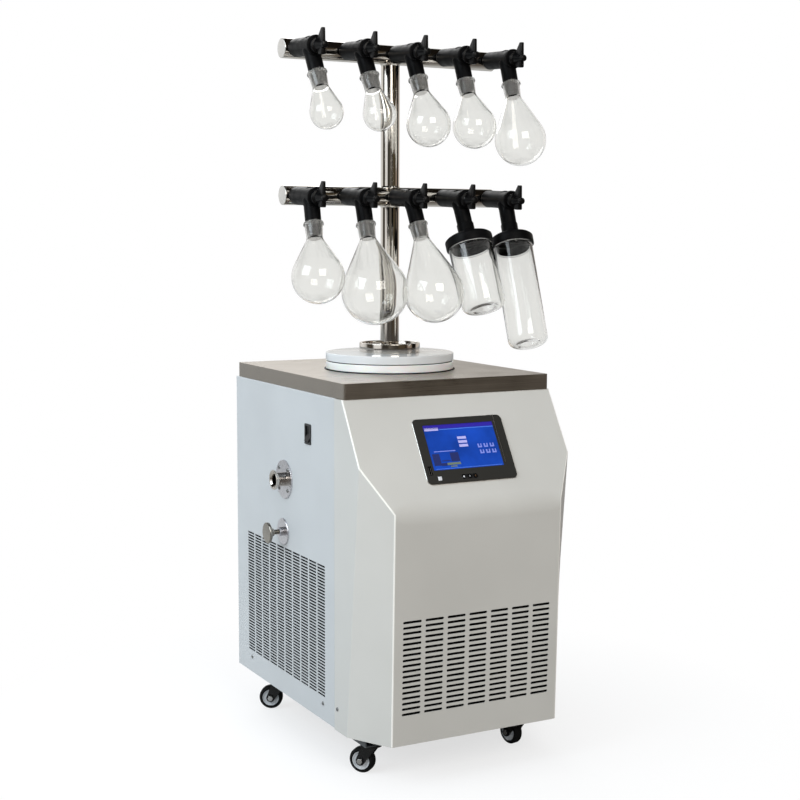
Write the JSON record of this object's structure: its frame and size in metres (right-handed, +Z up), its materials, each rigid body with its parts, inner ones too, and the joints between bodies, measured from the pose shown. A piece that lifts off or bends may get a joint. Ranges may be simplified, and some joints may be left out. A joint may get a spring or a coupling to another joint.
{
  "type": "freeze dryer",
  "caption": "Wheeled sheet-metal cabinet with a cold trap under a clear lid and a two-bar manifold whose valves hold glass flasks and jars for freeze drying.",
  "frame": {"origin": "on the floor directly under the axis of the cold trap and manifold column", "axes": "+X to the right seen from the front, +Y to the rear, +Z up; the sloping control panel faces -Y"},
  "size_m": [0.542, 0.6415, 1.4052],
  "materials": {
    "cabinet_paint": "warm light grey powder coat",
    "side_paint": "cool light grey powder coat",
    "stainless": "brushed stainless",
    "polished_steel": "polished stainless",
    "base_steel": "zinc-plated and painted steel",
    "bezel_grey": "dark grey",
    "display": "backlit display glass",
    "indicator": "pale translucent lenses",
    "black_rubber": "satin black",
    "seal_rubber": "matt black",
    "black_plastic": "satin black moulding",
    "clear_glass": "clear borosilicate glass",
    "clear_acrylic": "clear acrylic",
    "white_acetal": "translucent white",
    "foam": "cream insulation foam",
    "copper": "bare copper tube",
    "black_paint": "gloss black",
    "aluminium_fins": "bare fins",
    "tyre_rubber": "black tread on a pale hub",
    "zinc_plate": "zinc plated",
    "grey_plastic": "moulded grey"
  },
  "bodies": {
    "cabinet": {"base_frame": "base_steel", "bezel_fittings": "indicator", "caster_plates": "zinc_plate", "compressor": "black_paint", "condenser": "aluminium_fins", "control_box": "base_steel", "drain_valve_body": "stainless", "evaporator_coil": "copper", "fan_shroud": "base_steel", "flask_1000ml": "clear_glass", "flask_100ml": "clear_glass", "flask_250ml": "clear_glass", "flask_500ml": "clear_glass", "flask_500ml_tall": "clear_glass", "flask_800ml": "clear_glass", "front_panel": "cabinet_paint", "jar_caps": "black_rubber", "left_side_panel": "side_paint", "lid": "clear_acrylic", "lower_crossbar": "polished_steel", "lower_valve_bodies": "black_rubber", "manifold_column": "polished_steel", "panel_screws": "zinc_plate", "power_inlet": "black_plastic", "power_switch_frame": "black_plastic", "rear_panel": "side_paint", "right_side_panel": "side_paint", "screen_bezel": "bezel_grey", "screen_display": "display", "short_jar": "clear_glass", "tall_jar": "clear_glass", "trap_collar": "white_acetal", "trap_insulation": "foam", "trap_pot": "stainless", "trap_seals": "seal_rubber", "upper_crossbar": "polished_steel", "upper_valve_bodies": "black_rubber", "vacuum_port": "polished_steel", "worktop": "stainless"},
    "upper_knob_1": {"upper_valve_knob_1": "black_plastic"},
    "upper_knob_2": {"upper_valve_knob_2": "black_plastic"},
    "upper_knob_3": {"upper_valve_knob_3": "black_plastic"},
    "upper_knob_4": {"upper_valve_knob_4": "black_plastic"},
    "upper_knob_5": {"upper_valve_knob_5": "black_plastic"},
    "lower_knob_1": {"lower_valve_knob_1": "black_plastic"},
    "lower_knob_2": {"lower_valve_knob_2": "black_plastic"},
    "lower_knob_3": {"lower_valve_knob_3": "black_plastic"},
    "lower_knob_4": {"lower_valve_knob_4": "black_plastic"},
    "lower_knob_5": {"lower_valve_knob_5": "black_plastic"},
    "front_left_fork": {"front_left_caster_fork": "black_paint"},
    "front_left_wheel": {"front_left_caster_wheel": "tyre_rubber"},
    "front_right_fork": {"front_right_caster_fork": "black_paint"},
    "front_right_wheel": {"front_right_caster_wheel": "tyre_rubber"},
    "rear_left_fork": {"rear_left_caster_fork": "black_paint"},
    "rear_left_wheel": {"rear_left_caster_wheel": "tyre_rubber"},
    "rear_right_fork": {"rear_right_caster_fork": "black_paint"},
    "rear_right_wheel": {"rear_right_caster_wheel": "tyre_rubber"},
    "drain_knob": {"drain_knob": "stainless"},
    "power_rocker": {"power_switch_rocker": "black_plastic"},
    "fan": {"fan_rotor": "grey_plastic"}
  },
  "joints": [
    {"name": "upper_valve_turn_1", "type": "hinge", "parent": "cabinet", "child": "upper_knob_1", "pos_m": [-0.218, 0, 1.3817], "axis": [0, -0.9986, -0.0523], "range_deg": [0, 180]},
    {"name": "upper_valve_turn_2", "type": "hinge", "parent": "cabinet", "child": "upper_knob_2", "pos_m": [-0.109, 0, 1.3817], "axis": [0, -0.9986, -0.0523], "range_deg": [0, 180]},
    {"name": "upper_valve_turn_3", "type": "hinge", "parent": "cabinet", "child": "upper_knob_3", "pos_m": [0, 0, 1.3817], "axis": [0, -0.9986, -0.0523], "range_deg": [0, 180]},
    {"name": "upper_valve_turn_4", "type": "hinge", "parent": "cabinet", "child": "upper_knob_4", "pos_m": [0.109, 0, 1.3817], "axis": [0, -0.9986, -0.0523], "range_deg": [0, 180]},
    {"name": "upper_valve_turn_5", "type": "hinge", "parent": "cabinet", "child": "upper_knob_5", "pos_m": [0.218, 0, 1.3817], "axis": [0, -0.9986, -0.0523], "range_deg": [0, 180]},
    {"name": "lower_valve_turn_1", "type": "hinge", "parent": "cabinet", "child": "lower_knob_1", "pos_m": [-0.218, 0, 1.1], "axis": [0, -0.9986, -0.0523], "range_deg": [0, 180]},
    {"name": "lower_valve_turn_2", "type": "hinge", "parent": "cabinet", "child": "lower_knob_2", "pos_m": [-0.109, 0, 1.1], "axis": [0, -0.9986, -0.0523], "range_deg": [0, 180]},
    {"name": "lower_valve_turn_3", "type": "hinge", "parent": "cabinet", "child": "lower_knob_3", "pos_m": [0, 0, 1.1], "axis": [0, -0.9986, -0.0523], "range_deg": [0, 180]},
    {"name": "lower_valve_turn_4", "type": "hinge", "parent": "cabinet", "child": "lower_knob_4", "pos_m": [0.109, 0, 1.1], "axis": [0, -0.9986, -0.0523], "range_deg": [0, 180]},
    {"name": "lower_valve_turn_5", "type": "hinge", "parent": "cabinet", "child": "lower_knob_5", "pos_m": [0.218, 0, 1.1], "axis": [0, -0.9986, -0.0523], "range_deg": [0, 180]},
    {"name": "front_left_swivel", "type": "hinge", "parent": "cabinet", "child": "front_left_fork", "pos_m": [-0.165, -0.247, 0.06], "axis": [0, 0, 1], "continuous": true},
    {"name": "front_left_roll", "type": "hinge", "parent": "front_left_fork", "child": "front_left_wheel", "pos_m": [-0.17786, -0.23168, 0.025], "axis": [0.766, 0.6428, 0], "continuous": true},
    {"name": "front_right_swivel", "type": "hinge", "parent": "cabinet", "child": "front_right_fork", "pos_m": [0.165, -0.247, 0.06], "axis": [0, 0, 1], "continuous": true},
    {"name": "front_right_roll", "type": "hinge", "parent": "front_right_fork", "child": "front_right_wheel", "pos_m": [0.16084, -0.22744, 0.025], "axis": [0.9781, 0.2079, 0], "continuous": true},
    {"name": "rear_left_swivel", "type": "hinge", "parent": "cabinet", "child": "rear_left_fork", "pos_m": [-0.165, 0.192, 0.06], "axis": [0, 0, 1], "continuous": true},
    {"name": "rear_left_roll", "type": "hinge", "parent": "rear_left_fork", "child": "rear_left_wheel", "pos_m": [-0.18196, 0.2026, 0.025], "axis": [0.5299, 0.848, 0], "continuous": true},
    {"name": "rear_right_swivel", "type": "hinge", "parent": "cabinet", "child": "rear_right_fork", "pos_m": [0.165, 0.192, 0.06], "axis": [0, 0, 1], "continuous": true},
    {"name": "rear_right_roll", "type": "hinge", "parent": "rear_right_fork", "child": "rear_right_wheel", "pos_m": [0.155, 0.20932, 0.025], "axis": [0.866, 0.5, 0], "continuous": true},
    {"name": "drain_turn", "type": "hinge", "parent": "cabinet", "child": "drain_knob", "pos_m": [-0.25, 0.024, 0.427], "axis": [-1, 0, 0], "range_deg": [0, 720]},
    {"name": "power_rock", "type": "hinge", "parent": "cabinet", "child": "power_rocker", "pos_m": [-0.2265, -0.097, 0.64], "axis": [0, -1, 0], "range_deg": [0, 18]},
    {"name": "fan_spin", "type": "hinge", "parent": "cabinet", "child": "fan", "pos_m": [0, -0.239, 0.2], "axis": [0, 1, 0], "continuous": true}
  ]
}
